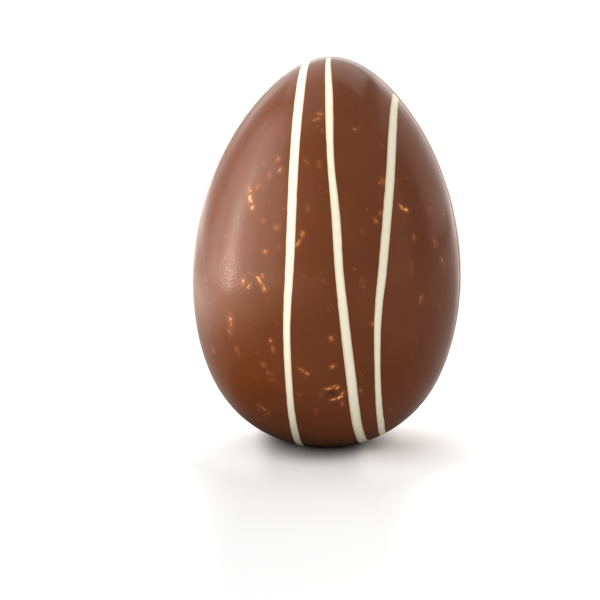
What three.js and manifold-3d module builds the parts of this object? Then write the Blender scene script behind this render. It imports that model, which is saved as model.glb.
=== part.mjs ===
// A moulded milk-chocolate egg that stands on its blunt end. Millimetres, +Z up.
// Two half shells meet on an upright seam in the XZ plane, and three lines of white chocolate
// are laid flush in channels across each half. The origin is the middle of the flat spot below.
import * as THREE from 'three';
import { mergeVertices } from 'three/addons/utils/BufferGeometryUtils.js';
import Module from 'manifold-3d';

const wasm = await Module();
wasm.setup();

// The egg's form: along its axis it is a stretched circle, drawn in towards the tip.
const EGG_HEIGHT = 150;
const HALF_LENGTH = 75.8;
const MID_RADIUS = 51.5;
const TAPER = 0.13;
const FULLNESS = 0.015;
const SHOULDER = 0.1;
const MIDDLE_Z = EGG_HEIGHT - HALF_LENGTH;

// The rim that the two halves are pressed together on.
const SEAM_GAP = 0.3;
const RIM_REACH = 0.8;
const RIM_HEIGHT = 0.3;

// The white lines. Their angles are seen from the side: -90 is straight down, 90 is the tip.
const LINE_DEPTH = 0.9;
const LINE_CLEARANCE = 0.35;
const LINE_HEART_Z = EGG_HEIGHT / 2;
const CHANNEL_CUTTER_PROUD = 2;
const FRONT_LINES = [
  {
    name: 'front_line_left',
    from: -80.5,
    to: 88.7,
    offsets: [-6.4, -5.5, -5.5, -6.0, -5.5, -5.9, -6.9, -8.2, -9.9],
    widths: [3.0, 3.1, 2.8, 2.9, 3.4, 3.6, 3.7, 3.8, 3.2],
  },
  {
    name: 'front_line_middle',
    from: -88.7,
    to: 88.7,
    offsets: [18.2, 18.5, 17.7, 15.4, 12.8, 10.5, 6.8, 3.2, -1.4],
    widths: [3.4, 3.5, 3.6, 3.5, 3.2, 3.3, 2.7, 3.1, 1.7],
  },
  {
    name: 'front_line_right',
    from: -88.7,
    to: 88.7,
    offsets: [25.0, 26.5, 26.8, 26.9, 27.9, 28.3, 28.2, 26.9, 25.1],
    widths: [2.4, 2.5, 2.1, 2.6, 3.1, 3.1, 3.2, 3.0, 2.4],
  },
];
const BACK_LINES = [
  {
    name: 'back_line_left',
    from: -88.7,
    to: 88.7,
    offsets: [-27.5, -27.8, -26.6, -25.4, -25.0, -25.5, -26.4, -26.2, -25.0],
    widths: [2.6, 2.9, 3.3, 3.5, 3.3, 2.9, 2.7, 3.0, 2.8],
  },
  {
    name: 'back_line_middle',
    from: -80.5,
    to: 88.7,
    offsets: [-7.0, -6.2, -5.2, -4.4, -2.6, -0.4, 1.2, 1.6, 1.0],
    widths: [3.2, 3.3, 3.1, 3.4, 3.6, 3.5, 3.1, 2.8, 2.2],
  },
  {
    name: 'back_line_right',
    from: -88.7,
    to: 88.7,
    offsets: [21.5, 20.2, 17.6, 15.4, 14.6, 14.9, 14.2, 12.4, 10.6],
    widths: [3.1, 3.4, 3.7, 3.5, 3.0, 2.8, 3.1, 3.5, 3.0],
  },
];

// How finely the curved faces are cut into flat ones.
const AROUND = 48;
const RINGS = 26;
const LINE_STATIONS = 28;
const REACH_HALVINGS = 40;
const MERGE_DISTANCE = 1e-4;

const BLOCK = 2 * EGG_HEIGHT;

// Radius of the egg at a height, grown all round by a margin.
function radiusAt(z, grow = 0) {
  const c = THREE.MathUtils.clamp((z - MIDDLE_Z) / (HALF_LENGTH + grow), -1, 1);
  const s = Math.sqrt(1 - c * c);
  return (MID_RADIUS + grow) * s * (1 - TAPER * c + FULLNESS * c * c - SHOULDER * c * c * c);
}

// Outline of one side, from the edge of the flat spot up to the tip: x is radius, y is height.
function outline(grow = 0) {
  const half = HALF_LENGTH + grow;
  const footAngle = Math.acos(-MIDDLE_Z / half);
  const points = [];
  for (let i = 0; i < RINGS; i += 1) {
    const z = MIDDLE_Z + half * Math.cos(footAngle * (1 - i / RINGS));
    points.push(new THREE.Vector2(radiusAt(z, grow), z));
  }
  points.push(new THREE.Vector2(0, MIDDLE_Z + half));
  return points;
}

// A closed geometry as a solid that can be joined and cut.
function solidFrom(geometry) {
  const bare = new THREE.BufferGeometry();
  bare.setAttribute('position', geometry.getAttribute('position'));
  bare.setIndex(geometry.getIndex());
  const merged = mergeVertices(bare, MERGE_DISTANCE);
  const corners = merged.getIndex().array;
  const kept = [];
  for (let i = 0; i < corners.length; i += 3) {
    const [a, b, c] = corners.slice(i, i + 3);
    if (a !== b && b !== c && c !== a) kept.push(a, b, c);
  }
  return new wasm.Manifold(new wasm.Mesh({
    numProp: 3,
    vertProperties: new Float32Array(merged.getAttribute('position').array),
    triVerts: new Uint32Array(kept),
  }));
}

function geometryFrom(solid) {
  const { vertProperties, triVerts } = solid.getMesh();
  const geometry = new THREE.BufferGeometry();
  geometry.setAttribute('position', new THREE.BufferAttribute(vertProperties, 3));
  geometry.setIndex(new THREE.BufferAttribute(triVerts, 1));
  geometry.computeVertexNormals();
  return geometry;
}

// The egg turned round its axis, standing on its flat spot.
function turnedEgg() {
  const profile = [new THREE.Vector2(0, 0), ...outline()];
  const geometry = new THREE.LatheGeometry(profile, AROUND, Math.PI / AROUND);
  geometry.rotateX(Math.PI / 2);
  return solidFrom(geometry);
}

// The pressed rim: the egg's outline, a little larger, as a thin upright plate on the seam.
function seamRim() {
  const side = outline(RIM_HEIGHT);
  const mirrored = side.slice(0, -1).reverse().map((p) => new THREE.Vector2(-p.x, p.y));
  const plate = new THREE.ExtrudeGeometry(new THREE.Shape([...side, ...mirrored]), {
    depth: 2 * RIM_REACH + SEAM_GAP,
    bevelEnabled: false,
  });
  plate.rotateX(Math.PI / 2);
  plate.translate(0, RIM_REACH + SEAM_GAP / 2, 0);
  return solidFrom(plate);
}

// A value along a line, taken smoothly through its evenly spaced ones.
function along(values, angle) {
  const place = ((angle + 90) / 180) * (values.length - 1);
  const i = THREE.MathUtils.clamp(Math.floor(place), 0, values.length - 2);
  const t = place - i;
  const before = values[Math.max(i - 1, 0)];
  const after = values[Math.min(i + 2, values.length - 1)];
  const [a, b] = [values[i], values[i + 1]];
  const bend = 2 * before - 5 * a + 4 * b - after;
  const twist = 3 * a - before - 3 * b + after;
  return a + 0.5 * t * (b - before + t * (bend + t * twist));
}

// Distance from the egg's heart to its front face, in the upright plane at a sideways offset.
function reach(offset, angle) {
  const slope = THREE.MathUtils.degToRad(angle);
  let inside = 0;
  let outside = EGG_HEIGHT;
  for (let i = 0; i < REACH_HALVINGS; i += 1) {
    const middle = (inside + outside) / 2;
    const radius = Math.hypot(offset, middle * Math.cos(slope));
    const within = radius < radiusAt(LINE_HEART_Z + middle * Math.sin(slope));
    if (within) inside = middle;
    else outside = middle;
  }
  return inside;
}

// A white line on the front half. A block is bent to lie along the face, its outer side
// standing `proud` of it and its other sides moved outwards by a margin.
function lineGeometry(line, margin, proud) {
  const block = new THREE.BoxGeometry(1, 1, 1, 2, LINE_STATIONS, 1);
  const endMargin = THREE.MathUtils.radToDeg(margin / LINE_HEART_Z);
  const places = block.getAttribute('position');
  for (let i = 0; i < places.count; i += 1) {
    const share = places.getY(i) + 0.5;
    const angle = THREE.MathUtils.lerp(line.from - endMargin, line.to + endMargin, share);
    const width = along(line.widths, angle) + 2 * margin;
    const offset = along(line.offsets, angle) + places.getX(i) * width;
    const lift = places.getZ(i) > 0 ? proud : -LINE_DEPTH - margin;
    const distance = reach(offset, angle) + lift;
    const slope = THREE.MathUtils.degToRad(angle);
    const forward = distance * Math.cos(slope);
    const height = LINE_HEART_Z + distance * Math.sin(slope);
    places.setXYZ(i, offset, -forward, height);
  }
  block.deleteAttribute('uv');
  block.computeVertexNormals();
  return block;
}

// The front half shell: everything in front of the seam, less a channel for each white line.
function halfShell(wholeEgg, lines) {
  const block = new THREE.BoxGeometry(BLOCK, BLOCK, BLOCK);
  block.translate(0, -(BLOCK + SEAM_GAP) / 2, LINE_HEART_Z);
  let half = wholeEgg.intersect(solidFrom(block));
  for (const line of lines) {
    half = half.subtract(solidFrom(lineGeometry(line, LINE_CLEARANCE, CHANNEL_CUTTER_PROUD)));
  }
  return geometryFrom(half);
}

const milkChocolate = { color: 0x6a3a24, roughness: 0.38, metalness: 0 };
const whiteChocolate = { color: 0xf0e8cf, roughness: 0.42, metalness: 0 };

function named(name, geometry, look) {
  const mesh = new THREE.Mesh(geometry, new THREE.MeshStandardMaterial(look));
  mesh.name = name;
  return mesh;
}

// One decorated half, made as the front one.
function decoratedHalf(name, wholeEgg, lines) {
  const group = new THREE.Group();
  group.add(named(name, halfShell(wholeEgg, lines), milkChocolate));
  for (const line of lines) {
    group.add(named(line.name, lineGeometry(line, 0, 0), whiteChocolate));
  }
  return group;
}

const wholeEgg = turnedEgg().add(seamRim());
const front = decoratedHalf('front_half', wholeEgg, FRONT_LINES);
const back = decoratedHalf('back_half', wholeEgg, BACK_LINES);
back.rotation.z = Math.PI;

const egg = new THREE.Group();
egg.add(front, back);

export default egg;
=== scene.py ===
# %% [markdown]
# # A moulded chocolate egg
# The egg is two half shells of milk chocolate, cast in a polished mould and pressed together
# on an upright seam. Each half carries three lines of white chocolate, and crumbs of caramel
# are scattered all through it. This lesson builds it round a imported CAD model, which says
# where every part is and is never changed: here we only give it its fine surface and looks.

# %% Load the CAD frame
import math
import random

import bmesh
import bpy
from mathutils import Matrix, Quaternion, Vector, kdtree, noise


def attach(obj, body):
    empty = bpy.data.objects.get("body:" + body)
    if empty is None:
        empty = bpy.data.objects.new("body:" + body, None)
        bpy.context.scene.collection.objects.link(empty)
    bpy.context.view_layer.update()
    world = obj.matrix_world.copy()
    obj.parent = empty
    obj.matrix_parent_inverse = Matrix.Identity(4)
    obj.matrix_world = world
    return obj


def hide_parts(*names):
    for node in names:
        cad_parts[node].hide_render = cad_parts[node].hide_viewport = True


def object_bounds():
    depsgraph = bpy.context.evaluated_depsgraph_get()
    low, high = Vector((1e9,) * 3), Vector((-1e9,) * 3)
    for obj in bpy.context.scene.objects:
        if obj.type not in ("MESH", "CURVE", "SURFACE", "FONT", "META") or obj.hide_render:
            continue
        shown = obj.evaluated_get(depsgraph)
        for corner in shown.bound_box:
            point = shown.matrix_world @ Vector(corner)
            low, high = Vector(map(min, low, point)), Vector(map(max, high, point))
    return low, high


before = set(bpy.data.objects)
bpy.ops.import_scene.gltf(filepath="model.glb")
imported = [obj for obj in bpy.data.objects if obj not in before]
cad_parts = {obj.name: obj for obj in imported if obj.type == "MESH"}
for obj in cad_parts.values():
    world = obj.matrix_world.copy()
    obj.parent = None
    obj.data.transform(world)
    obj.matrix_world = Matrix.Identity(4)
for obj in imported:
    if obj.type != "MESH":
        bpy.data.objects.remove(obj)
cad_low, cad_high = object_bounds()
MM = 0.001
print("CAD nodes:", ", ".join(sorted(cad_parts)))
print("CAD box in mm:", [round((h - l) / MM, 1) for l, h in zip(cad_low, cad_high)])

# %% [markdown]
# ## Camera
# A photographer stands back and uses a long lens, so that the egg keeps its true outline.
# We say where the camera is by the point it looks at, a bearing, a height angle and a
# distance, because these are easy to think about. A quaternion that turns the Z axis to the
# direction back to the camera aims it, and a small turn about that axis is the camera's tilt.

# %% Place the camera
CAMERA_BEARING = math.radians(10)
CAMERA_ELEVATION = math.radians(9)
CAMERA_DISTANCE = 934.5 * MM
CAMERA_ROLL = math.radians(1.52)
CAMERA_LENS = 144
CAMERA_AIM = Vector((-9.98, -1.76, 55.5)) * MM


def direction(bearing, elevation):
    """Unit vector out of the egg: bearing 0 is the front, -Y, and grows towards +X."""
    level = math.cos(elevation)
    return Vector((math.sin(bearing) * level, -math.cos(bearing) * level, math.sin(elevation)))


lens = bpy.data.cameras.new("camera")
lens.lens = CAMERA_LENS
lens.sensor_width = 36
lens.clip_start = 0.05
lens.clip_end = 100
camera = bpy.data.objects.new("camera", lens)
bpy.context.scene.collection.objects.link(camera)
to_camera = direction(CAMERA_BEARING, CAMERA_ELEVATION)
camera.location = CAMERA_AIM + to_camera * CAMERA_DISTANCE
camera.rotation_mode = "QUATERNION"
tilt = Quaternion((0, 0, 1), CAMERA_ROLL)
camera.rotation_quaternion = to_camera.to_track_quat("Z", "Y") @ tilt
bpy.context.scene.camera = camera
print("camera height in mm:", round(camera.location.z / MM))

# %% [markdown]
# ## Nodes by hand
# Each finish below is a small tree of shader nodes. One helper adds a node, sets the values
# of its sockets and plugs other nodes' outputs into them, so that a tree reads from top to
# bottom like a recipe. A colour ramp, a mix of two colours, a sum or product and a smooth
# step are common enough to have helpers of their own.

# %% Helper that adds a node


def put(tree, socket, value):
    """Sets a socket to a plain value, or plugs another node's output into it."""
    if isinstance(value, bpy.types.NodeSocket):
        tree.links.new(value, socket)
    else:
        socket.default_value = value


def add_node(tree, kind, inputs=None, **settings):
    """Adds a node with its settings, then fills its inputs by name or number."""
    made = tree.nodes.new(kind)
    for name, value in settings.items():
        setattr(made, name, value)
    for name, value in (inputs or {}).items():
        put(tree, made.inputs[name], value)
    return made


def new_finish(name):
    """An empty material, and its tree of nodes."""
    finish = bpy.data.materials.new(name)
    finish.use_nodes = True
    finish.node_tree.nodes.clear()
    return finish, finish.node_tree


print("a new finish is empty:", len(new_finish("trial")[1].nodes) == 0)
bpy.data.materials.remove(bpy.data.materials["trial"])

# %% Helpers for colours and numbers


def grey(level):
    return (level, level, level, 1)


def add_ramp(tree, factor, stops):
    """A colour ramp through (position, colour) stops."""
    ramp = add_node(tree, "ShaderNodeValToRGB", {"Fac": factor})
    elements = ramp.color_ramp.elements
    elements[0].position, elements[0].color = stops[0]
    elements[1].position, elements[1].color = stops[-1]
    for position, colour in stops[1:-1]:
        elements.new(position).color = colour
    return ramp.outputs["Color"]


def mix_colours(tree, factor, first, second):
    """Mixes two colours by a factor."""
    mix = add_node(tree, "ShaderNodeMix", {0: factor, 6: first, 7: second}, data_type="RGBA")
    return mix.outputs[2]


def combine(tree, operation, first, second):
    """One Math node: a quotient, the larger of two numbers or the like."""
    made = add_node(tree, "ShaderNodeMath", {0: first, 1: second}, operation=operation)
    return made.outputs["Value"]


def product(tree, *factors):
    """Several numbers multiplied."""
    made = factors[0]
    for factor in factors[1:]:
        made = combine(tree, "MULTIPLY", made, factor)
    return made


def total(tree, *terms):
    """Several numbers added up."""
    made = terms[0]
    for term in terms[1:]:
        made = combine(tree, "ADD", made, term)
    return made


def ease(tree, value, start, end, low, high):
    """A smooth step from `low` at `start` to `high` at `end`."""
    step = add_node(
        tree,
        "ShaderNodeMapRange",
        {"Value": value, "From Min": start, "From Max": end, "To Min": low, "To Max": high},
        interpolation_type="SMOOTHSTEP",
    )
    return step.outputs["Result"]


print("a mid grey:", grey(0.5))

# %% [markdown]
# ## Table
# The egg stands on a white table that runs on without an edge. A flat disc does, so large
# that its end lies on the horizon. Places on it are easier to give as the photographer sees
# them, to the right and further back, so a helper turns such a place by the camera's bearing.

# %% White table
TABLE_RADIUS = 12
TABLE_SIDES = 96


def beside_camera(right, back, up):
    """A place as the photographer sees it: to the right, further back, and up."""
    return Matrix.Rotation(CAMERA_BEARING, 4, "Z") @ Vector((right, back, up))


disc = bmesh.new()
bmesh.ops.create_circle(disc, cap_ends=True, segments=TABLE_SIDES, radius=TABLE_RADIUS)
table_mesh = bpy.data.meshes.new("table")
disc.to_mesh(table_mesh)
disc.free()
table = bpy.data.objects.new("table", table_mesh)
bpy.context.scene.collection.objects.link(table)
print("table radius in m:", TABLE_RADIUS)

# %% [markdown]
# ## The table as the camera sees it
# A picture on white is exposed so that the table burns out to pure white, and only the soft
# shadow under the egg stays grey. So the table is matt near the egg, and turns to plain white
# light further off. Near the egg its colour is painted lighter on the right, where the shadow
# of the strong lights on the left would fall, and lighter again beside the egg and behind it,
# as painted light. Right under the egg it is painted darker, a painted shadow with a dark core.
# Each change is
# a smooth step over a span of the table, because the eye finds a sudden one as an edge.

# %% Table: camera's look
TABLE_WHITE = 0.95
PURE_WHITE = 1.05
# Painted shade: a spot on the table in front on the left, where its reflection and the light it bounces
# are painted dark.
PAINTED_SHADE_SPOT = beside_camera(-0.065, -0.035, 0)
PAINTED_LIGHT_LEFT, PAINTED_LIGHT_RIGHT = 0.59, 0.75
PAINTED_LIGHT_SPAN = (-0.08, 0.12)
SHADOW_SHIFT = 0.004
CORE_WIDTH = 0.5
PAINTED_SHADOW_DARK = 0.25
CORE_SPAN = (0.012, 0.052)
SIDE_BOOST = 0.72
BESIDE_SPAN = (0.012, 0.023)
NEAR_SPAN = (-0.09, 0.02)
FAR_SPAN = (0.02, 0.085)
BEHIND_SPAN = (0.01, 0.07)
BOUNCE_AT_SHADE_SPOT, BOUNCE_SHADE_SPOT_SPAN = 0.05, (0.02, 0.11)
BOUNCE_RIGHT, BOUNCE_RIGHT_SPAN = 0.7, (-0.01, 0.09)
BURNT_OUT_SPAN = (0.05, 0.38)

table_finish, tree = new_finish("table_white")
place = add_node(tree, "ShaderNodeTexCoord").outputs["Object"]
path = add_node(tree, "ShaderNodeLightPath")
distance = add_node(tree, "ShaderNodeVectorMath", {0: place}, operation="LENGTH").outputs["Value"]


def across_table(way):
    """How far a place lies along a level direction."""
    along_way = add_node(tree, "ShaderNodeVectorMath", {0: place, 1: way}, operation="DOT_PRODUCT")
    return along_way.outputs["Value"]


rightwards = across_table(beside_camera(1, 0, 0))
backwards = across_table(beside_camera(0, 1, 0))
to_shade_spot = add_node(tree, "ShaderNodeVectorMath", {0: place, 1: PAINTED_SHADE_SPOT}, operation="DISTANCE")
from_shade_spot = to_shade_spot.outputs["Value"]
# Painted light and shadow on the table near the egg: lighter on the right, beside and behind the egg,
# and a painted dark shadow core right under it.
painted_light_and_shade = ease(tree, rightwards, *PAINTED_LIGHT_SPAN, PAINTED_LIGHT_LEFT, PAINTED_LIGHT_RIGHT)
sideways = combine(tree, "ABSOLUTE", total(tree, rightwards, SHADOW_SHIFT), 0)
widened = combine(tree, "DIVIDE", sideways, CORE_WIDTH)
squares = total(tree, product(tree, widened, widened), product(tree, backwards, backwards))
core = ease(tree, combine(tree, "SQRT", squares, 0), *CORE_SPAN, PAINTED_SHADOW_DARK, 1)
beside_egg = ease(tree, sideways, *BESIDE_SPAN, 0, SIDE_BOOST)
near_boost = product(tree, beside_egg, ease(tree, backwards, *NEAR_SPAN, 0, 1))
far_boost = ease(tree, sideways, *FAR_SPAN, 0, SIDE_BOOST)
behind_boost = ease(tree, backwards, *BEHIND_SPAN, 0, SIDE_BOOST)
side_boost = combine(tree, "MAXIMUM", near_boost, far_boost)
boost = combine(tree, "MAXIMUM", side_boost, behind_boost)
painted_light_and_shade = product(tree, painted_light_and_shade, core, total(tree, boost, 1))
# Painted shade: for bounced light the table is darker at the shade spot and towards the right, which
# darkens the egg's lower sides.
bounce = product(
    tree,
    ease(tree, from_shade_spot, *BOUNCE_SHADE_SPOT_SPAN, BOUNCE_AT_SHADE_SPOT, TABLE_WHITE),
    ease(tree, rightwards, *BOUNCE_RIGHT_SPAN, 1, BOUNCE_RIGHT),
)
shade = mix_colours(tree, path.outputs["Is Camera Ray"], bounce, painted_light_and_shade)
matt = add_node(tree, "ShaderNodeBsdfDiffuse", {"Color": shade}).outputs["BSDF"]
white = add_node(tree, "ShaderNodeEmission", {"Strength": PURE_WHITE}).outputs["Emission"]
far_off = ease(tree, distance, *BURNT_OUT_SPAN, 0, 1)
burnt_out = product(tree, far_off, path.outputs["Is Camera Ray"])
plain_look = add_node(tree, "ShaderNodeMixShader", {"Fac": burnt_out, 1: matt, 2: white})
print("table is pure white beyond", BURNT_OUT_SPAN[1], "m")

# %% [markdown]
# ## The table as the chocolate mirrors it
# Glossy chocolate mirrors the table, and in reflections the table is a glow painted by place,
# which stands in for the light and shade it would show: painted light towards the lamps on the
# left and straight behind, dull in front, and painted shade where the egg would keep the light
# off and at the shade spot in front on the left. The glow is a little warm, which keeps the
# rims from turning grey. The
# Light Path node tells a direct look, a reflection and bounced light apart, so that one table
# can have a look for each.

# %% Table: reflection's look
LAMP_GLOW, LAMP_SPAN = 2.35, (-0.32, -0.09)
FADED_BACK, FADE_BACK_SPAN = 0.08, (0.0, 0.55)
FADED_FRONT, FADE_FRONT_SPAN = 0.5, (-0.35, 0.0)
FRONT_GLOW, BACK_GLOW, ROOM_SPAN = 0.2, 0.5, (-0.05, 0.08)
FAR_GLOW, FAR_GLOW_SPAN = 0.2, (0.1, 0.8)
RIGHT_GLOW, RIGHT_SPAN, RIGHT_END_SPAN = 0.3, (0.07, 0.2), (-0.08, 0.08)
BEHIND_GLOW, BEHIND_SLANT = 0.75, 0.12
BEHIND_SIDE_SPAN, BEHIND_START_SPAN = (0.35, 0.85), (0.02, 0.12)
LEAST_BACK = 0.01
SHADE_SPOT_SPAN, EGG_SPAN = (0.018, 0.045), (0.01, 0.065)
MIRRORED_TINT = (1.0, 0.9, 0.82, 1)

# Painted reflection: the table glows only in reflections, brighter towards the lamps, straight behind
# and far off, and painted dark near the egg and at the shade spot.
towards_lamps = ease(tree, rightwards, *LAMP_SPAN, LAMP_GLOW, 0)
fades_back = ease(tree, backwards, *FADE_BACK_SPAN, 1, FADED_BACK)
fades_front = ease(tree, backwards, *FADE_FRONT_SPAN, FADED_FRONT, 1)
painted_glow_at_lamps = product(tree, towards_lamps, fades_back, fades_front)
painted_glow_of_room = ease(tree, backwards, *ROOM_SPAN, FRONT_GLOW, BACK_GLOW)
painted_glow_far_off = ease(tree, backwards, *FAR_GLOW_SPAN, 0, FAR_GLOW)
on_right = ease(tree, rightwards, *RIGHT_SPAN, 0, RIGHT_GLOW)
painted_glow_right = product(tree, on_right, ease(tree, backwards, *RIGHT_END_SPAN, 1, 0))
slant = combine(tree, "DIVIDE", rightwards, combine(tree, "MAXIMUM", backwards, LEAST_BACK))
off_middle = combine(tree, "ABSOLUTE", combine(tree, "SUBTRACT", slant, BEHIND_SLANT), 0)
in_middle = ease(tree, off_middle, *BEHIND_SIDE_SPAN, BEHIND_GLOW, 0)
straight_behind = product(tree, in_middle, ease(tree, backwards, *BEHIND_START_SPAN, 0, 1))
painted_glow = total(tree, painted_glow_at_lamps, painted_glow_of_room, straight_behind, painted_glow_far_off, painted_glow_right)
past_shade_spot = ease(tree, from_shade_spot, *SHADE_SPOT_SPAN, 0, 1)
past_egg = ease(tree, distance, *EGG_SPAN, 0, 1)
glow = product(tree, painted_glow, past_shade_spot, past_egg)
mirrored = add_node(
    tree, "ShaderNodeEmission", {"Color": MIRRORED_TINT, "Strength": glow}
).outputs["Emission"]
look = add_node(
    tree,
    "ShaderNodeMixShader",
    {"Fac": path.outputs["Is Glossy Ray"], 1: plain_look.outputs["Shader"], 2: mirrored},
)
add_node(tree, "ShaderNodeOutputMaterial", {"Surface": look.outputs["Shader"]})
table_mesh.materials.append(table_finish)
print("table nodes:", len(tree.nodes))

# %% [markdown]
# ## Room
# White walls give a gentle light from everywhere, which fills the shadows. The camera would
# see them as white, and the chocolate mirrors them a good deal darker.

# %% White room
ROOM_LIGHT = 0.52
ROOM_IN_GLOSS = 0.34

room = bpy.data.worlds.new("room")
room.use_nodes = True
bpy.context.scene.world = room
tree = room.node_tree
tree.nodes.clear()
path = add_node(tree, "ShaderNodeLightPath")
walls = mix_colours(tree, path.outputs["Is Glossy Ray"], grey(ROOM_LIGHT), grey(ROOM_IN_GLOSS))
seen = mix_colours(tree, path.outputs["Is Camera Ray"], walls, grey(1))
air = add_node(tree, "ShaderNodeBackground", {"Color": seen, "Strength": 1})
add_node(tree, "ShaderNodeOutputWorld", {"Surface": air.outputs["Background"]})
bpy.context.scene.view_settings.view_transform = "Standard"
print("room light:", ROOM_LIGHT)

# %% [markdown]
# ## A soft light
# A softbox is a flat lamp behind white cloth, and chocolate mirrors its whole face. So each
# is given the brightness that its face should show, where 1 shows as white. Its power
# follows from that brightness and its area. The camera doesn't see the lamps themselves.

# %% Helper that places a soft light


def softbox(name, centre, facing, size, brightness, colour=(1, 1, 1)):
    """A flat lamp with its middle at `centre`, turned to shine along `facing`."""
    lamp = bpy.data.lights.new(name, "AREA")
    lamp.color = colour
    lamp.shape = "RECTANGLE"
    lamp.size, lamp.size_y = size
    lamp.energy = brightness * size[0] * size[1] * math.pi
    holder = bpy.data.objects.new(name, lamp)
    bpy.context.scene.collection.objects.link(holder)
    holder.location = beside_camera(*centre)
    holder.rotation_mode = "QUATERNION"
    away = -beside_camera(*facing)
    holder.rotation_quaternion = away.to_track_quat("Z", "Y")
    holder.visible_camera = False
    return holder


print("power for white, one square metre:", round(math.pi, 2), "W")

# %% [markdown]
# ## Lights on the left
# The pale side of the egg is the image of a large light on the left that is brightest in the
# middle and fades outwards. Stacked softboxes give that: a wide weak one, narrower ones over
# it, and at the core a slim strip that ends in a hot spot near the table. The slim strip is
# what draws the bright streak down the chocolate.

# %% Left lights
LEFT_WALL = -0.58
STACK_GAP = 0.008
RIGHTWARDS, LEFTWARDS = (1, 0, 0), (-1, 0, 0)
TO_CAMERA, DOWN = (0, -1, 0), (0, 0, -1)
LEFT_LIGHTS = [
    # name, front end, back end, top, brightness
    ("left_wide_softbox", -0.95, 0.35, 0.6, 1.0),
    ("left_softbox", -0.6, 0.25, 0.75, 1.2),
    ("left_inner_softbox", -0.28, 0.1, 0.85, 1.4),
    ("left_strip", -0.085, 0.03, 0.42, 1.95),
    ("left_low_strip", -0.075, 0.02, 0.26, 2.3),
    ("left_hot_spot", -0.065, 0.02, 0.09, 4.6),
    ("left_card", 0.35, 1.0, 0.85, 0.42),
    ("left_low_card", 0.3, 1.3, 0.12, 0.12),
]
for i, (name, front_end, back_end, top, brightness) in enumerate(LEFT_LIGHTS):
    middle = (LEFT_WALL + i * STACK_GAP, (front_end + back_end) / 2, top / 2)
    softbox(name, middle, RIGHTWARDS, (back_end - front_end, top), brightness)
print("lights on the left:", len(LEFT_LIGHTS))

# %% [markdown]
# ## Lights above, behind and on the right
# A softbox above and behind gives the upper rims their pale edge, and cards behind and on the
# right lift the lower rims. At a glancing angle a finish mirrors without adding a colour of
# its own, so the cards and the backdrop are warm themselves, to give the rims a warm edge.
#
# The key light in front on the left and the fill on the right shape the form. They are kept
# out of reflections, because their sharp images would show on the gloss as extra streaks.

# %% Other lights
WARM = (1.0, 0.84, 0.76)
softbox("top_left_softbox", (-0.4, -0.1, 1.1), DOWN, (0.8, 0.6), 0.85)
softbox("top_softbox", (-0.1, 0.7, 1.1), DOWN, (1.4, 1.0), 1.25)
softbox("right_card", (0.8, 0.62, 0.4), LEFTWARDS, (0.96, 0.5), 0.62, WARM)
softbox("right_high_card", (0.8, 0.75, 0.85), LEFTWARDS, (1.5, 0.4), 0.7, WARM)
softbox("right_front_card", (0.8, -0.45, 0.35), LEFTWARDS, (0.5, 0.7), 0.4, WARM)
softbox("back_left_card", (-0.75, 1.6, 0.25), TO_CAMERA, (0.9, 0.5), 0.35, WARM)
softbox("back_right_card", (0.8, 1.6, 0.35), TO_CAMERA, (1.0, 0.7), 0.72, WARM)
softbox("back_softbox", (0, 1.6, 0.95), TO_CAMERA, (2.4, 0.9), 0.95)
softbox("backdrop", (0.3, 1.9, 0.5), TO_CAMERA, (1.4, 1.1), 0.9, WARM)
key = softbox("key", (-0.9, -1.2, 0.8), (0.9, 1.2, -0.72), (0.8, 0.8), 3.4)
key.visible_glossy = False
fill = softbox("fill", (0.9, -0.3, 1.1), (-0.9, 0.3, -1.0), (0.6, 0.6), 2.6)
fill.visible_glossy = False

# %% [markdown]
# ## The egg's form
# The egg is a stretched circle turned round its axis and drawn in towards the tip. Every
# piece below has to lie on this same skin, so its radius is one function of height, and the
# direction straight out of the skin is another. The height comes from the CAD frame.

# %% The skin as functions
RIM_HEIGHT = 0.3 * MM
EGG_HEIGHT = cad_high.z - RIM_HEIGHT
HALF_LENGTH = 75.8 * MM
MID_RADIUS = 51.5 * MM
TAPER = 0.13
FULLNESS = 0.015
SHOULDER = 0.1
MIDDLE_Z = EGG_HEIGHT - HALF_LENGTH
SLOPE_STEP = 0.05 * MM


def radius_at(z):
    """Radius of the egg at a height."""
    c = max(-1.0, min(1.0, (z - MIDDLE_Z) / HALF_LENGTH))
    s = math.sqrt(1 - c * c)
    return MID_RADIUS * s * (1 - TAPER * c + FULLNESS * c * c - SHOULDER * c * c * c)


def outward_at(point):
    """Direction straight out of the skin at a point on it."""
    if point.z > EGG_HEIGHT - SLOPE_STEP or math.hypot(point.x, point.y) < SLOPE_STEP:
        return Vector((0, 0, 1 if point.z > MIDDLE_Z else -1))
    rise = radius_at(point.z + SLOPE_STEP) - radius_at(point.z - SLOPE_STEP)
    level = Vector((point.x, point.y, 0)).normalized()
    return (level - Vector((0, 0, rise / (2 * SLOPE_STEP)))).normalized()


def on_skin(bearing, height):
    """The point on the skin at a bearing in degrees (0 is the front) and a height."""
    turn = math.radians(bearing)
    radius = radius_at(height)
    return Vector((math.sin(turn) * radius, -math.cos(turn) * radius, height))


def out_to_skin(point):
    """The point on the skin that is level with a point near it."""
    level = Vector((point.x, point.y, 0)).normalized()
    return level * radius_at(point.z) + Vector((0, 0, point.z))


print("widest in mm:", round(2 * max(radius_at(i * MM) for i in range(150)) / MM, 1))

# %% [markdown]
# ## Slight unevenness
# Chocolate shrinks a little as it sets, so that even a polished mould gives a skin that
# swells and dips by hundredths of a millimetre. Nobody sees that in the outline, but the
# edges of every reflection waver with it. Smooth noise moves the skin in or out. It fades
# near the foot, which stays flat, and the white lines use the same function, so they follow.

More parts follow.
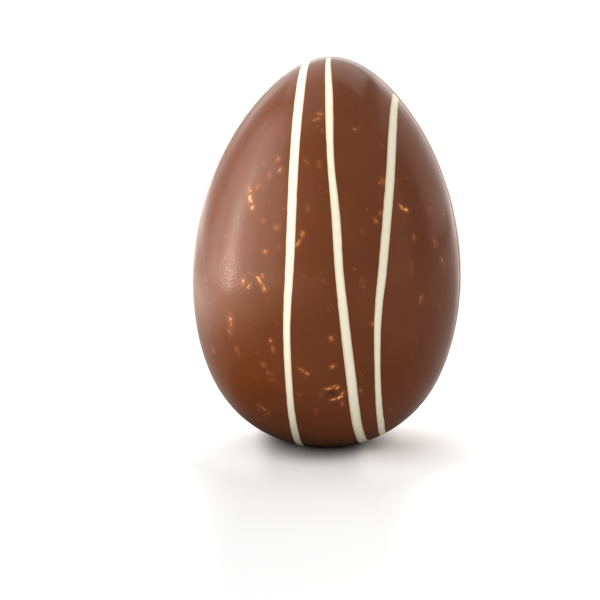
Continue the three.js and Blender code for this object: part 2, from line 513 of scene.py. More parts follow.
# %% Swell and dip
SWELL_SIZE = 26 * MM
SWELL_DEPTH = 0.09 * MM
DIMPLE_SIZE = 7 * MM
DIMPLE_DEPTH = 0.012 * MM
STEADY_BELOW = 12 * MM


def swell(point):
    """How far the set chocolate stands out of its ideal skin at a point."""
    broad = noise.noise(point / SWELL_SIZE) * SWELL_DEPTH
    fine = noise.noise(point / DIMPLE_SIZE) * DIMPLE_DEPTH
    return (broad + fine) * min(1.0, max(0.0, point.z / STEADY_BELOW))


print("swell at the front in mm:", round(swell(on_skin(0, EGG_HEIGHT / 2)) / MM, 3))

# %% [markdown]
# ## White lines: where they run
# Before the milk chocolate is poured, a hand draws lines of white chocolate down the inside
# of the mould, so each line wanders and changes its width. A line is given by the angles it
# spans, seen from the side (-90 is straight down, 90 is the tip), and by its sideways
# offsets and widths in mm at even steps between them. A smooth curve runs through the steps.
# They are the same numbers as in the CAD model, so each strip lies where its solid does.

# %% Courses of the white lines
LINE_HEART_Z = EGG_HEIGHT / 2
LINES = {
    "front_line_left": (
        (-80.5, 88.7),
        [-6.4, -5.5, -5.5, -6.0, -5.5, -5.9, -6.9, -8.2, -9.9],
        [3.0, 3.1, 2.8, 2.9, 3.4, 3.6, 3.7, 3.8, 3.2],
    ),
    "front_line_middle": (
        (-88.7, 88.7),
        [18.2, 18.5, 17.7, 15.4, 12.8, 10.5, 6.8, 3.2, -1.4],
        [3.4, 3.5, 3.6, 3.5, 3.2, 3.3, 2.7, 3.1, 1.7],
    ),
    "front_line_right": (
        (-88.7, 88.7),
        [25.0, 26.5, 26.8, 26.9, 27.9, 28.3, 28.2, 26.9, 25.1],
        [2.4, 2.5, 2.1, 2.6, 3.1, 3.1, 3.2, 3.0, 2.4],
    ),
    "back_line_left": (
        (-88.7, 88.7),
        [-27.5, -27.8, -26.6, -25.4, -25.0, -25.5, -26.4, -26.2, -25.0],
        [2.6, 2.9, 3.3, 3.5, 3.3, 2.9, 2.7, 3.0, 2.8],
    ),
    "back_line_middle": (
        (-80.5, 88.7),
        [-7.0, -6.2, -5.2, -4.4, -2.6, -0.4, 1.2, 1.6, 1.0],
        [3.2, 3.3, 3.1, 3.4, 3.6, 3.5, 3.1, 2.8, 2.2],
    ),
    "back_line_right": (
        (-88.7, 88.7),
        [21.5, 20.2, 17.6, 15.4, 14.6, 14.9, 14.2, 12.4, 10.6],
        [3.1, 3.4, 3.7, 3.5, 3.0, 2.8, 3.1, 3.5, 3.0],
    ),
}
print("white lines:", len(LINES))

# %% Functions that follow a line
REACH_HALVINGS = 36


def along(values, angle):
    """A value along a line, taken smoothly through its evenly spaced ones."""
    place = (angle + 90) / 180 * (len(values) - 1)
    i = min(max(int(math.floor(place)), 0), len(values) - 2)
    t = place - i
    a, b = values[i], values[i + 1]
    before = values[max(i - 1, 0)]
    after = values[min(i + 2, len(values) - 1)]
    bend = 2 * before - 5 * a + 4 * b - after
    twist = 3 * a - before - 3 * b + after
    return a + 0.5 * t * (b - before + t * (bend + t * twist))


def facing(node, offset, angle):
    """The point of the skin at a sideways offset, seen from the egg's heart at an angle."""
    slope = math.radians(angle)
    inside, outside = 0.0, EGG_HEIGHT
    for _ in range(REACH_HALVINGS):
        middle = (inside + outside) / 2
        radius = math.hypot(offset, middle * math.cos(slope))
        if radius < radius_at(LINE_HEART_Z + middle * math.sin(slope)):
            inside = middle
        else:
            outside = middle
    point = (offset, -inside * math.cos(slope), LINE_HEART_Z + inside * math.sin(slope))
    half_turn = math.pi if node.startswith("back") else 0
    return Matrix.Rotation(half_turn, 4, "Z") @ Vector(point)


heart = facing("front_line_left", 0, 0)
print("heart to front face in mm:", round(-heart.y / MM, 1))

# %% [markdown]
# ## Caramel crumbs: where they lie
# Crushed caramel was stirred into the chocolate. Some crumbs lie bare against the mould and
# show as golden splinters. Others stay under a thin film and only warm its colour. The ones
# on the front are listed one by one, and those on the sides and back are strewn.
#
# Each crumb is (bearing in degrees, height, length, width, lean, show): sizes in mm, lean in
# degrees from upright with its top to the left, and show, from 0 to 1, how bare it lies.

# %% Bare crumbs on the front
BARE_CRUMBS = [
    (-29.6, 98.8, 6.0, 1.8, 31, 1.0),
    (-27.3, 95.8, 1.5, 1.3, 20, 1.0),
    (-31.6, 102.2, 2.0, 1.0, 15, 0.45),
    (-26.6, 103.4, 2.2, 1.0, -30, 0.25),
    (-27.3, 68.4, 2.6, 1.3, -15, 0.8),
    (-24.2, 67.1, 1.9, 0.9, -40, 0.65),
    (-18.8, 69.3, 5.0, 1.2, 42, 0.8),
    (-16.7, 66.6, 1.4, 1.3, 10, 1.0),
    (-18.0, 71.6, 1.5, 0.8, 0, 0.5),
    (44.3, 97.5, 1.8, 1.0, 12, 0.9),
    (46.3, 96.5, 2.6, 1.1, 80, 1.0),
    (11.6, 29.6, 2.6, 0.8, -75, 0.8),
    (14.2, 30.6, 1.6, 0.7, -60, 0.7),
    (15.9, 30.2, 1.7, 0.8, -25, 0.9),
    (18.4, 27.8, 2.0, 0.8, -25, 0.6),
    (17.6, 26.2, 2.6, 1.1, -50, 1.0),
    (14.2, 25.1, 2.2, 0.6, -78, 0.85),
    (19.0, 23.4, 2.6, 0.9, 15, 0.35),
    (11.9, 49.5, 2.1, 1.2, 20, 0.7),
    (13.0, 38.6, 1.5, 1.0, -60, 0.85),
    (-34.3, 52.6, 5.0, 2.4, 3, 0.6),
    (-35.6, 48.4, 2.6, 1.4, 40, 0.25),
    (-1.6, 87.6, 2.0, 1.2, -20, 0.6),
    (-3.1, 84.3, 2.8, 0.9, -28, 0.65),
    (1.7, 130.5, 2.2, 0.9, 75, 0.4),
    (0.0, 128.8, 3.0, 0.8, -70, 0.4),
    (24.7, 125.4, 1.5, 1.0, 70, 0.35),
    (36.1, 107.0, 2.0, 1.7, -30, 0.5),
    (33.2, 95.7, 1.6, 1.2, -40, 0.4),
    (30.4, 93.1, 2.3, 0.8, 28, 0.5),
    (62.8, 83.5, 3.6, 2.0, 25, 0.45),
    (67.0, 76.2, 3.0, 1.4, 28, 0.4),
    (52.5, 63.4, 3.2, 1.7, 0, 0.5),
    (26.9, 28.7, 1.5, 0.8, 0, 0.4),
    (1.7, 35.5, 1.6, 1.1, 40, 0.65),
    (-0.4, 36.8, 2.4, 0.7, 60, 0.4),
    (-14.0, 47.1, 1.4, 1.0, 0, 0.4),
    (-13.0, 44.0, 1.8, 0.9, 20, 0.4),
    (-24.2, 18.6, 1.9, 1.0, 55, 0.55),
    (-17.5, 80.3, 1.6, 1.1, 60, 0.7),
    (-19.1, 113.8, 1.5, 1.2, 0, 0.6),
    (-16.2, 110.0, 1.8, 1.4, 0, 0.45),
    (28.9, 55.0, 1.3, 0.9, 0, 0.5),
    (74.7, 93.1, 1.3, 0.9, 0, 0.35),
    (-50.1, 39.2, 1.8, 1.1, 35, 0.4),
    (49.4, 86.2, 1.8, 1.0, 0, 0.35),
]
print("bare crumbs on the front:", len(BARE_CRUMBS))

# %% Buried crumbs on the front
BURIED_CRUMBS = [
    # bearing, height, size, show
    (-21.6, 107.7, 2.6, 0.4),
    (-27.4, 112.1, 3.0, 0.3),
    (-20.2, 91.5, 2.6, 0.55),
    (-13.5, 89.3, 2.8, 0.6),
    (-12.5, 90.2, 1.6, 0.5),
    (-11.2, 82.4, 1.8, 0.5),
    (-52.7, 66.5, 2.2, 0.5),
    (0.3, 97.0, 2.6, 0.5),
    (8.3, 70.8, 1.8, 0.4),
    (-0.1, 72.3, 1.6, 0.3),
    (4.2, 124.7, 2.2, 0.35),
    (-3.7, 113.9, 1.6, 0.6),
    (3.8, 112.7, 3.0, 0.5),
    (-2.0, 113.0, 2.0, 0.3),
    (40.0, 119.4, 2.0, 0.4),
    (24.6, 89.0, 2.4, 0.35),
    (62.1, 95.7, 2.8, 0.35),
    (47.0, 76.4, 2.0, 0.4),
    (46.9, 74.0, 2.2, 0.4),
    (24.4, 71.3, 2.6, 0.5),
    (24.4, 69.2, 2.2, 0.5),
    (64.9, 59.5, 2.6, 0.3),
    (-51.9, 46.6, 2.0, 0.35),
    (-32.3, 42.0, 2.6, 0.5),
    (-31.3, 40.2, 1.8, 0.45),
    (-18.5, 37.5, 2.8, 0.55),
    (-16.5, 34.5, 2.4, 0.6),
    (-14.4, 34.2, 2.0, 0.4),
    (-14.1, 31.6, 2.2, 0.45),
    (-16.0, 31.8, 3.0, 0.3),
    (-24.7, 32.1, 1.8, 0.35),
    (6.0, 20.7, 2.2, 0.5),
    (5.8, 18.6, 1.8, 0.4),
    (-2.2, 26.7, 2.0, 0.4),
    (8.2, 27.4, 3.4, 0.35),
    (51.9, 47.7, 1.8, 0.35),
    (50.6, 40.9, 2.0, 0.35),
    (48.4, 19.5, 2.2, 0.4),
    (-28.8, 17.9, 2.0, 0.5),
    (-27.4, 19.8, 2.2, 0.5),
    (-22.6, 16.6, 2.2, 0.5),
    (-21.4, 18.4, 1.6, 0.4),
    (-25.4, 15.9, 1.8, 0.4),
    (-11.0, 54.0, 1.6, 0.3),
    (-9.0, 58.5, 1.4, 0.3),
    (-15.0, 62.5, 1.5, 0.3),
    (5.0, 105.0, 1.6, 0.3),
    (12.0, 62.0, 1.6, 0.25),
    (-40.0, 84.0, 2.0, 0.3),
    (-46.0, 58.0, 2.2, 0.3),
    (35.0, 40.0, 1.6, 0.25),
]
print("buried crumbs on the front:", len(BURIED_CRUMBS))

# %% [markdown]
# ## Crumbs strewn over the sides and back
# A seeded random generator strews the rest, so that they fall in the same places on every
# run. A place near a white line or the seam is drawn again, because a crumb there would lie
# in the line. Most crumbs are small and half hidden, and a few are big and bare, so the
# random numbers are squared to favour the small end.

# %% Strew crumbs
STREWN_BARE = 62
STREWN_BURIED = 90
STREWN_FROM, STREWN_TO = 98, 279
LOWEST, HIGHEST = 10, 142
KEEP_OFF_LINE = 3.4 * MM
KEEP_OFF_SEAM = 2.2 * MM
COURSE_STEP = 2

courses = []
for node, (spread, offsets, _) in LINES.items():
    for angle in range(int(spread[0]), int(spread[1]), COURSE_STEP):
        courses.append(facing(node, along(offsets, angle) * MM, angle))
course_tree = kdtree.KDTree(len(courses))
for i, point in enumerate(courses):
    course_tree.insert(point, i)
course_tree.balance()
strewing = random.Random(11)


def free_place():
    """A bearing and a height that are clear of the lines and the seam."""
    while True:
        bearing = strewing.uniform(STREWN_FROM, STREWN_TO)
        height = strewing.uniform(LOWEST, HIGHEST)
        point = on_skin(bearing, height * MM)
        clear = course_tree.find(point)[2] > KEEP_OFF_LINE
        if clear and abs(point.y) > KEEP_OFF_SEAM:
            return bearing, height


for _ in range(STREWN_BARE):
    bearing, height = free_place()
    length = 1.2 + 3.2 * strewing.random() ** 2
    width = min(length, 0.7 + 1.0 * strewing.random())
    show = 0.3 + 0.7 * strewing.random() ** 2
    BARE_CRUMBS.append((bearing, height, length, width, strewing.uniform(-90, 90), show))
for _ in range(STREWN_BURIED):
    bearing, height = free_place()
    BURIED_CRUMBS.append((bearing, height, strewing.uniform(1.4, 3.0), strewing.uniform(0.25, 0.6)))
print("crumbs in all:", len(BARE_CRUMBS), "bare and", len(BURIED_CRUMBS), "buried")

# %% [markdown]
# ## How a crumb colours the chocolate round it
# Caramel is clear, so light that enters a crumb comes out again through the chocolate film
# round it as a soft orange-brown halo. Later a vertex attribute will carry this glow to the
# shader. Here every crumb, bare or buried, becomes an oval on the skin with its own axes,
# and a tree of their middles finds the ovals near a point quickly.

# %% Ovals of the crumbs
HALO = 0.55 * MM
FILM_OVER_BARE = 0.75
BURIED_LENGTH, BURIED_WIDTH = 0.5, 0.36
FARTHEST_HALO = 4.5 * MM


def crumb_axes(bearing, height, lean):
    """Middle of a crumb on the skin, and its directions along and across."""
    middle = on_skin(bearing, height * MM)
    outward = outward_at(middle)
    sideways = Vector((0, 0, 1)).cross(outward).normalized()
    upward = outward.cross(sideways)
    turn = math.radians(lean)
    along_it = upward * math.cos(turn) - sideways * math.sin(turn)
    return middle, along_it, outward.cross(along_it)


ovals = []
for bearing, height, length, width, lean, show in BARE_CRUMBS:
    middle, along_it, across_it = crumb_axes(bearing, height, lean)
    reach = (length * MM / 2 + HALO, width * MM / 2 + HALO)
    ovals.append((middle, along_it, across_it, reach, FILM_OVER_BARE * (0.4 + 0.6 * show)))
tilting = random.Random(5)
for bearing, height, size, show in BURIED_CRUMBS:
    middle, along_it, across_it = crumb_axes(bearing, height, tilting.uniform(-90, 90))
    reach = (size * MM * BURIED_LENGTH, size * MM * BURIED_WIDTH)
    ovals.append((middle, along_it, across_it, reach, show))
oval_tree = kdtree.KDTree(len(ovals))
for i, oval in enumerate(ovals):
    oval_tree.insert(oval[0], i)
oval_tree.balance()
print("ovals:", len(ovals))

# %% Glow of the film at a point


def film_glow(point):
    """How much caramel glows through the film at a point, from 0 to 1."""
    strongest = 0.0
    for _, i, _ in oval_tree.find_range(point, FARTHEST_HALO):
        middle, along_it, across_it, reach, strength = ovals[i]
        away = point - middle
        u = away.dot(along_it) / reach[0]
        v = away.dot(across_it) / reach[1]
        strongest = max(strongest, strength * math.exp(-(u * u + v * v) ** 1.3))
    return strongest


print("glow in the middle of the first crumb:", round(film_glow(ovals[0][0]), 2))

# %% [markdown]
# ## Half shell: turned on a lathe
# A mould maker turns the egg's outline on a lathe, and so do we: points are extruded one
# after another along the outline, from the middle of the foot up to the tip, and `spin`
# turns that chain through half a circle. Equal steps of angle, not of height, keep the
# outline smooth at the tip and at the foot.

# %% Turn one half shell
OUTLINE_STEPS = 210
FOOT_STEPS = 6
TURN_STEPS = 180
WELD = 0.001 * MM


def everything(mesh):
    return mesh.verts[:] + mesh.edges[:] + mesh.faces[:]


def turned_half():
    """A bmesh of half an egg, still open on the side of the seam."""
    shell = bmesh.new()
    foot_angle = math.acos(-MIDDLE_Z / HALF_LENGTH)
    foot_radius = radius_at(0)
    outline = [Vector((foot_radius * i / FOOT_STEPS, 0, 0)) for i in range(FOOT_STEPS + 1)]
    for i in range(1, OUTLINE_STEPS + 1):
        z = MIDDLE_Z + HALF_LENGTH * math.cos(foot_angle * (1 - i / OUTLINE_STEPS))
        outline.append(Vector((radius_at(z) if i < OUTLINE_STEPS else 0, 0, z)))
    tail = shell.verts.new(outline[0])
    for place in outline[1:]:
        tail = bmesh.ops.extrude_vert_indiv(shell, verts=[tail])["verts"][0]
        tail.co = place
    bmesh.ops.spin(
        shell,
        geom=shell.verts[:] + shell.edges[:],
        cent=(0, 0, 0),
        axis=(0, 0, 1),
        angle=-math.pi,
        steps=TURN_STEPS,
        use_merge=False,
        use_normal_flip=False,
        use_duplicate=False,
    )
    bmesh.ops.remove_doubles(shell, verts=shell.verts, dist=WELD)
    return shell


trial = turned_half()
print("faces of a turned half:", len(trial.faces))
trial.free()

# %% [markdown]
# ## Half shell: the seam
# Where the halves are pressed together, chocolate squeezes up into a narrow bead with a fine
# groove along its middle. `bisect_plane` first trims the cut edge back by a hair, so that a
# thin line is left between the halves, and then adds loops beside it, which the bead needs.

# %% Trim the seam and add loops
HAIRLINE = 0.018 * MM
RIM_REACH = 0.8 * MM
RIM_LOOPS = [0.06, 0.12, 0.2, 0.32, 0.44, 0.56, 0.68, 0.8, 0.92, 1.1]
BEAD_HEIGHT = 0.15 * MM
GROOVE_DEPTH = 0.07 * MM
GROOVE_REACH = 0.13 * MM


def trim_seam(shell, front):
    """Cuts the half back to the hairline, then cuts loops beside the seam."""
    outwards = Vector((0, front, 0))
    bmesh.ops.bisect_plane(
        shell,
        geom=everything(shell),
        dist=0,
        plane_co=-outwards * HAIRLINE,
        plane_no=outwards,
        clear_outer=True,
    )
    for reach in RIM_LOOPS:
        bmesh.ops.bisect_plane(
            shell, geom=everything(shell), dist=0, plane_co=-outwards * reach * MM, plane_no=outwards
        )


def rim_lift(distance):
    """Height of the bead at a distance from the seam."""
    if distance >= RIM_REACH:
        return 0.0
    bead = BEAD_HEIGHT * math.cos(distance / RIM_REACH * math.pi / 2) ** 1.5
    return bead - GROOVE_DEPTH * max(0.0, 1 - distance / GROOVE_REACH)


print("height of the bead in mm:", round(max(rim_lift(i * 0.02 * MM) for i in range(40)) / MM, 2))

# %% [markdown]
# ## Half shell: finer cuts at the crumbs
# The halo of a crumb is smaller than a face or two, so the faces there are cut finer with
# `subdivide_edges`. New points lie on the flat faces, so each is moved out to the skin.

# %% Cut finer near crumbs
FINE_CUTS = 2
FINE_REACH = 1.7 * MM
PIT_BEARING, PIT_HEIGHT = 13.9, 27.6
PIT_REACH = 1.5 * MM
PIT_DEPTH = 0.35 * MM
PIT_RAGGED_SIZE, PIT_ROUGH_SIZE = 0.7 * MM, 0.45 * MM
FOOT_BLEND = 2 * MM
pit_middle = on_skin(PIT_BEARING, PIT_HEIGHT * MM)


def cut_finer(shell):
    """Subdivides the faces near bare crumbs and near the pit."""
    bare_tree = kdtree.KDTree(len(BARE_CRUMBS) + 1)
    for i, crumb in enumerate(BARE_CRUMBS):
        bare_tree.insert(on_skin(crumb[0], crumb[1] * MM), i)
    bare_tree.insert(pit_middle, len(BARE_CRUMBS))
    bare_tree.balance()
    near = []
    for edge in shell.edges:
        middle = (edge.verts[0].co + edge.verts[1].co) / 2
        if bare_tree.find(middle)[2] < FINE_REACH:
            near.append(edge)
    made = bmesh.ops.subdivide_edges(shell, edges=near, cuts=FINE_CUTS, use_grid_fill=True)
    for part in made["geom_inner"]:
        if isinstance(part, bmesh.types.BMVert):
            part.co = out_to_skin(part.co)


print("pit in mm:", [round(c / MM, 1) for c in pit_middle])

# %% [markdown]
# ## Half shell: close and shape
# The open side is filled, which leaves each half a closed solid with its faces outwards.
# Then every point moves straight out of the skin: by the swell, by the bead, and inwards at
# one small pit, where a clump of crumbs broke out of the mould and left a rough hole. Two
# vertex attributes carry the caramel's glow and the pit to the shader.

# %% Close and shape one half


def pit_at(point):
    """How deep in the pit a point lies, from 0 to 1, with a ragged edge."""
    ragged = 1 + 0.35 * noise.noise(point / PIT_RAGGED_SIZE)
    return math.exp(-((point - pit_middle).length / PIT_REACH * ragged) ** 4)


def close_and_shape(shell):
    """Fills the side on the seam, moves the skin and writes the two attributes."""
    film = shell.verts.layers.float.new("film")
    pit = shell.verts.layers.float.new("pit")
    open_edges = [edge for edge in shell.edges if edge.is_boundary]
    filled = bmesh.ops.holes_fill(shell, edges=open_edges, sides=0)
    bmesh.ops.recalc_face_normals(shell, faces=shell.faces)
    for face in shell.faces:
        face.smooth = True
    for face in filled["faces"]:
        face.smooth = False
        for edge in face.edges:
            edge.smooth = False
    for vert in shell.verts:
        vert[film] = film_glow(vert.co)
        vert[pit] = pit_at(vert.co)
        if vert.co.z > 0:
            steady = min(1.0, vert.co.z / FOOT_BLEND)
            lift = swell(vert.co) + rim_lift(abs(vert.co.y)) * steady
            rough = 0.7 + 0.6 * noise.noise(vert.co / PIT_ROUGH_SIZE)
            vert.co += outward_at(vert.co) * (lift - vert[pit] * PIT_DEPTH * rough)


print("pit at its middle:", round(pit_at(pit_middle), 2))

# %% Helper that hands a piece over


def hand_over(mesh, name, node):
    """Makes an object of a bmesh, hangs it on the root body and hides the CAD part it replaces."""
    data = bpy.data.meshes.new(name)
    mesh.to_mesh(data)
    mesh.free()
    piece = bpy.data.objects.new(name, data)
    bpy.context.scene.collection.objects.link(piece)
    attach(piece, "root")
    if node:
        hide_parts(node)
    print(name, "has", len(data.polygons), "faces")
    return piece


# %% Make both half shells
shells = []
for name, node, front in (("front_shell", "front_half", 1), ("back_shell", "back_half", -1)):
    shell = turned_half()
    if front < 0:
        half_turn = Matrix.Rotation(math.pi, 3, "Z")
        bmesh.ops.rotate(shell, verts=shell.verts, cent=(0, 0, 0), matrix=half_turn)
    trim_seam(shell, front)
    cut_finer(shell)
    close_and_shape(shell)
    shells.append(hand_over(shell, name, node))

# %% [markdown]
# ## Finish of milk chocolate: colour
# Milk chocolate looks plain from afar, but it isn't one colour. Cocoa and milk fat set in
# faint clouds, dust of caramel makes tiny warm specks, and the film over a buried crumb
# glows orange-brown. Noise makes the clouds, a few Voronoi cells make the specks, and the
# attribute from the mesh brings the glow, broken up by finer noise as real crumbs are.

# %% Milk chocolate: colour nodes
CLOUD_SCALE = 45
SPECK_SCALE = 330
SPECK_SIZE = 0.16
SPECK_SHARE = 0.16
CRUMBLE_SCALE = 900
BROWN_DARK = (0.114, 0.0300, 0.0091, 1)
BROWN = (0.122, 0.0325, 0.0098, 1)
BROWN_LIGHT = (0.131, 0.0350, 0.0106, 1)
SPECK_BROWN = (0.21, 0.064, 0.021, 1)
FILM_BROWN = (0.33, 0.095, 0.028, 1)
FILM_ORANGE = (0.55, 0.2, 0.06, 1)
PIT_PAINTED_SHADE = (0.07, 0.019, 0.007, 1)

milk, tree = new_finish("milk_chocolate")
place = add_node(tree, "ShaderNodeTexCoord").outputs["Object"]
cloud = add_node(
    tree, "ShaderNodeTexNoise", {"Vector": place, "Scale": CLOUD_SCALE, "Detail": 4, "Roughness": 0.55}
)
brown = add_ramp(
    tree, cloud.outputs["Fac"], [(0.3, BROWN_DARK), (0.5, BROWN), (0.7, BROWN_LIGHT)]
)
cell = add_node(tree, "ShaderNodeTexVoronoi", {"Vector": place, "Scale": SPECK_SCALE})
dot = ease(tree, cell.outputs["Distance"], SPECK_SIZE * 0.4, SPECK_SIZE * 1.6, 1, 0)
drawn = add_node(tree, "ShaderNodeSeparateColor", {"Color": cell.outputs["Color"]})
chosen = ease(tree, drawn.outputs["Red"], SPECK_SHARE, SPECK_SHARE * 0.5, 0, 0.8)
specked = mix_colours(tree, product(tree, dot, chosen), brown, SPECK_BROWN)
crumbled = add_node(tree, "ShaderNodeTexNoise", {"Vector": place, "Scale": CRUMBLE_SCALE, "Detail": 3})
broken = ease(tree, crumbled.outputs["Fac"], 0.32, 0.62, 0.45, 1.15)
film = add_node(tree, "ShaderNodeAttribute", attribute_name="film").outputs["Fac"]
through = product(tree, film, broken)
film_colour = add_ramp(tree, through, [(0.35, FILM_BROWN), (0.9, FILM_ORANGE)])
filmed = mix_colours(tree, through, specked, film_colour)
pit = add_node(tree, "ShaderNodeAttribute", attribute_name="pit").outputs["Fac"]
# The pit is painted darker than the chocolate round it, a painted shade in the hollow.
colour = mix_colours(tree, pit, filmed, PIT_PAINTED_SHADE)
print("colour nodes:", len(tree.nodes))

# %% [markdown]
# ## Finish of milk chocolate: gloss and grain
# A polished mould leaves a satin gloss. Seen close, the sugar and milk crystals give it a
# fine grain of under a millimetre, which breaks up the image of a bright lamp into mottles,
# and the gloss comes and goes in patches. The grain is a bump, far too fine for the mesh. One
# small patch on the left was scuffed in the mould, so the bump is several times deeper there.
# The reflection has a brown tint, as chocolate colours the light that it scatters and mirrors.

# %% Milk chocolate: gloss and grain nodes
GRAIN_SCALE = 900
GRAIN_HEIGHT = 0.03 * MM
GRAIN_STRENGTH = 0.9
GLOSS_SMOOTH, GLOSS_DULL = 0.18, 0.24
GLOSS_PATCH_SCALE = 110
PIT_DULL = 0.7
CHOCOLATE_IOR = 1.46
GLOSS_TINT = (1.0, 0.73, 0.6, 1)
SCUFF_MIDDLE = on_skin(-36, 72 * MM)
SCUFF_REACH = 9 * MM
SCUFF_STRENGTH = 5

grain = add_node(
    tree, "ShaderNodeTexNoise", {"Vector": place, "Scale": GRAIN_SCALE, "Detail": 2.5, "Roughness": 0.55}
)
to_scuff = add_node(tree, "ShaderNodeVectorMath", {0: place, 1: SCUFF_MIDDLE}, operation="DISTANCE")
rough_here = ease(tree, to_scuff.outputs["Value"], 0.4 * SCUFF_REACH, SCUFF_REACH, SCUFF_STRENGTH, 1)
relief = add_node(
    tree,
    "ShaderNodeBump",
    {
        "Strength": GRAIN_STRENGTH,
        "Distance": product(tree, rough_here, GRAIN_HEIGHT),
        "Height": grain.outputs["Fac"],
    },
)
patch = add_node(tree, "ShaderNodeTexNoise", {"Vector": place, "Scale": GLOSS_PATCH_SCALE, "Detail": 3})
gloss = ease(tree, patch.outputs["Fac"], 0.35, 0.65, GLOSS_SMOOTH, GLOSS_DULL)
dulled = combine(tree, "MAXIMUM", gloss, product(tree, pit, PIT_DULL))
skin = add_node(
    tree,
    "ShaderNodeBsdfPrincipled",
    {
        "Base Color": colour,
        "Roughness": dulled,
        "IOR": CHOCOLATE_IOR,
        "Specular Tint": GLOSS_TINT,
        "Normal": relief.outputs["Normal"],
    },
)
add_node(tree, "ShaderNodeOutputMaterial", {"Surface": skin.outputs["BSDF"]})
for shell in shells:
    shell.data.materials.append(milk)
print("milk chocolate nodes:", len(tree.nodes))

# %% [markdown]
# ## White lines: strips on the skin
# On the real egg a white line is a strip that the milk chocolate flows round, flush with the
# skin or a hair proud of it. A grid becomes a strip of even thickness with
# `extrude_face_region`, and then each of its points is carried to its place on the skin. Its
# columns are packed towards the sides, so the edges can roll under crisply. A little noise
# makes the width waver, as a drawn line does.

# %% Bend a strip onto the skin
LINE_THICKNESS = 0.6 * MM
LINE_PROUD = 0.05 * MM
EDGE_DIP = 0.08 * MM
EDGE_SHARPNESS = 24
COLUMNS, ROWS = 14, 170
WAVER = 0.09 * MM


def white_line(node, spread, offsets, widths):
    """One white line, as a bmesh strip that lies on the egg."""
    strip = bmesh.new()
    across = strip.verts.layers.float.new("across")
    bmesh.ops.create_grid(strip, x_segments=COLUMNS, y_segments=ROWS, size=0.5)
    made = bmesh.ops.extrude_face_region(strip, geom=strip.faces[:])
    upper = {v for v in made["geom"] if isinstance(v, bmesh.types.BMVert)}
    for vert in strip.verts:
        angle = spread[0] + (vert.co.y + 0.5) * (spread[1] - spread[0])
        u = math.sin(vert.co.x * math.pi)
        unsteady = noise.noise(Vector((angle * 0.35, u * 0.5, len(node) + offsets[0])))
        half_width = along(widths, angle) * MM / 2 + WAVER * unsteady
        point = facing(node, along(offsets, angle) * MM + u * half_width, angle)
        lift = LINE_PROUD - (LINE_PROUD + EDGE_DIP) * abs(u) ** EDGE_SHARPNESS
        if vert not in upper:
            lift = -LINE_THICKNESS
        vert[across] = abs(u)
        vert.co = point + outward_at(point) * (lift + swell(point))
    bmesh.ops.recalc_face_normals(strip, faces=strip.faces)
    for face in strip.faces:
        face.smooth = True
    return strip


lines = []
for node, (spread, offsets, widths) in LINES.items():
    strip = white_line(node, spread, offsets, widths)
    lines.append(hand_over(strip, node.replace("_line_", "_white_line_"), node))

# %% [markdown]
# ## Finish of white chocolate
# White chocolate is creamy, and light goes a little way into it, so the finish has some
# subsurface scattering. Along its edges the milk chocolate has run thinly over it, which
# gives them a peach tint, and the tint reaches further in as a painted shade that rounds the
# line. Faint clouds and the same fine grain keep it from looking painted.

# %% White chocolate
CREAM = (0.80, 0.762, 0.60, 1)
CREAM_WARM = (0.78, 0.732, 0.56, 1)
CREAM_EDGE_TINT_AND_SHADE = (0.62, 0.44, 0.27, 1)
CREAM_CLOUD_SCALE = 260
CREAM_SMOOTH, CREAM_DULL = 0.26, 0.36

white_chocolate, tree = new_finish("white_chocolate")
place = add_node(tree, "ShaderNodeTexCoord").outputs["Object"]
across = add_node(tree, "ShaderNodeAttribute", attribute_name="across").outputs["Fac"]
cloud = add_node(tree, "ShaderNodeTexNoise", {"Vector": place, "Scale": CREAM_CLOUD_SCALE, "Detail": 4})
cream = add_ramp(tree, cloud.outputs["Fac"], [(0.35, CREAM), (0.68, CREAM_WARM)])
# Edge tint: partly the thin milk chocolate over the edges, partly painted shade that darkens the line
# towards its sides.
edge = ease(tree, across, 0.35, 1.05, 0, 0.9)
tinted = mix_colours(tree, edge, cream, CREAM_EDGE_TINT_AND_SHADE)
grain = add_node(tree, "ShaderNodeTexNoise", {"Vector": place, "Scale": GRAIN_SCALE, "Detail": 2})
relief = add_node(
    tree,
    "ShaderNodeBump",
    {"Strength": GRAIN_STRENGTH, "Distance": GRAIN_HEIGHT, "Height": grain.outputs["Fac"]},
)
gloss = ease(tree, cloud.outputs["Fac"], 0.3, 0.7, CREAM_SMOOTH, CREAM_DULL)
skin = add_node(
    tree,
    "ShaderNodeBsdfPrincipled",
    {
        "Base Color": tinted,
        "Roughness": gloss,
        "IOR": CHOCOLATE_IOR,
        "Subsurface Weight": 0.2,
        "Subsurface Scale": 0.001,
        "Normal": relief.outputs["Normal"],
    },
)
add_node(tree, "ShaderNodeOutputMaterial", {"Surface": skin.outputs["BSDF"]})
for line in lines:
    line.data.materials.append(white_chocolate)
print("white chocolate nodes:", len(tree.nodes))

# %% [markdown]
# ## Caramel shards
# Crushed caramel breaks like glass, into splinters with flat, glinting faces. A shard starts
# as an icosphere of 20 faces. Its corners are jittered, it is stretched to its length and
# width, turned to its lean, bent to follow the skin and sunk in until only its top stands
# out by a tenth of a millimetre. Big crumbs get smaller chips beside them, as they crumble.

# %% One shard
CHIP_DEPTH = 0.7
STANDS_OUT = 0.1 * MM
JITTER = 0.3
SHARD_GROWTH = 1.15


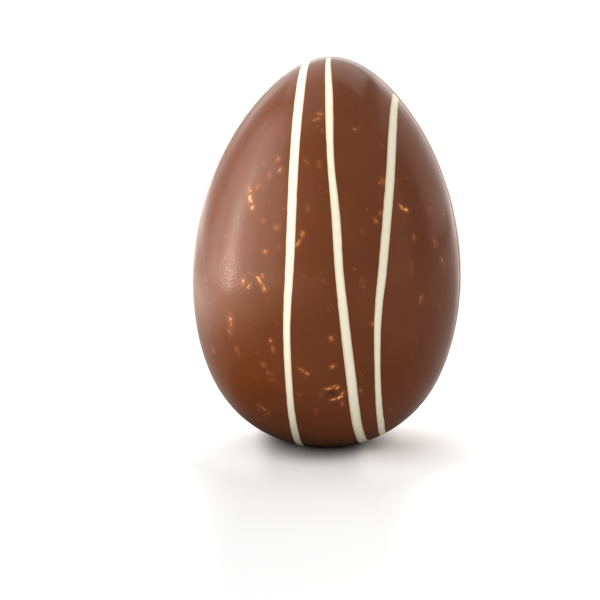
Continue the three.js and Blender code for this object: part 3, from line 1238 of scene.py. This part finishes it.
def add_shard(shards, glow, crumb, chance):
    """Adds one splinter to the mesh, and writes how brightly each of its points glows."""
    bearing, height, length, width, lean, show = crumb
    middle, along_it, across_it = crumb_axes(bearing, height, lean)
    depth = width * MM * CHIP_DEPTH
    rise = STANDS_OUT * (0.6 + 0.8 * show) - depth / 2
    made = bmesh.ops.create_icosphere(shards, subdivisions=1, radius=0.5)
    for vert in made["verts"]:
        corner = vert.co * (1 + JITTER * chance.uniform(-1, 1)) * SHARD_GROWTH
        lengthways = along_it * corner.y * length * MM
        sideways = across_it * corner.x * width * MM
        place = out_to_skin(middle + lengthways + sideways)
        vert.co = place + outward_at(place) * (swell(place) + rise + corner.z * depth)
        vert[glow] = show * chance.uniform(0.45, 1.0)


print("a shard stands out in mm:", round(STANDS_OUT / MM, 2))

# %% All shards
shards = bmesh.new()
glow = shards.verts.layers.float.new("glow")
chance = random.Random(23)
for crumb in BARE_CRUMBS:
    bearing, height, length, width, lean, show = crumb
    add_shard(shards, glow, crumb, chance)
    chips = 1 if length < 1.8 else 2
    for _ in range(chips):
        turn = math.radians(lean)
        step = chance.choice((-1, 1)) * length * chance.uniform(0.3, 0.6)
        aside = chance.uniform(-0.7, 0.7) * width
        up = step * math.cos(turn) + aside * math.sin(turn)
        right = -step * math.sin(turn) + aside * math.cos(turn)
        around = math.degrees(right * MM / radius_at(height * MM))
        chip_length = min(length * 0.5, chance.uniform(0.5, 1.2))
        chip_width = chip_length * chance.uniform(0.45, 0.9)
        chip_lean = lean + chance.uniform(-50, 50)
        chip_show = show * chance.uniform(0.45, 0.95)
        chip = (bearing + around, height + up, chip_length, chip_width, chip_lean, chip_show)
        add_shard(shards, glow, chip, chance)
bmesh.ops.recalc_face_normals(shards, faces=shards.faces)
caramel_shards = hand_over(shards, "caramel_shards", None)

# %% [markdown]
# ## Finish of caramel
# Caramel is a clear amber glass. Where light gets through it is golden, and where it is thick
# or still covered by chocolate it is a deep orange-brown. The attribute of each point picks
# the depth of colour, noise varies it within a shard, and low roughness gives the glints.

# %% Caramel
CARAMEL_DEEP = (0.2, 0.055, 0.014, 1)
CARAMEL_ORANGE = (0.5, 0.165, 0.036, 1)
CARAMEL_GOLD = (0.83, 0.41, 0.17, 1)
CARAMEL_PALE = (0.93, 0.6, 0.28, 1)
STREAK_SCALE = 1100
CARAMEL_GLOSS = 0.16
CARAMEL_IOR = 1.5

caramel, tree = new_finish("caramel")
place = add_node(tree, "ShaderNodeTexCoord").outputs["Object"]
bareness = add_node(tree, "ShaderNodeAttribute", attribute_name="glow").outputs["Fac"]
streak = add_node(tree, "ShaderNodeTexNoise", {"Vector": place, "Scale": STREAK_SCALE, "Detail": 3})
varied = ease(tree, streak.outputs["Fac"], 0.3, 0.7, 0.7, 1.2)
amber = add_ramp(
    tree,
    product(tree, bareness, varied),
    [(0.05, CARAMEL_DEEP), (0.45, CARAMEL_ORANGE), (0.8, CARAMEL_GOLD), (1.0, CARAMEL_PALE)],
)
relief = add_node(
    tree,
    "ShaderNodeBump",
    {"Strength": 0.4, "Distance": GRAIN_HEIGHT, "Height": streak.outputs["Fac"]},
)
glass = add_node(
    tree,
    "ShaderNodeBsdfPrincipled",
    {
        "Base Color": amber,
        "Roughness": CARAMEL_GLOSS,
        "IOR": CARAMEL_IOR,
        "Subsurface Weight": 0.25,
        "Subsurface Radius": (1.0, 0.45, 0.12),
        "Subsurface Scale": 0.0006,
        "Normal": relief.outputs["Normal"],
    },
)
add_node(tree, "ShaderNodeOutputMaterial", {"Surface": glass.outputs["BSDF"]})
caramel_shards.data.materials.append(caramel)
print("caramel nodes:", len(tree.nodes))
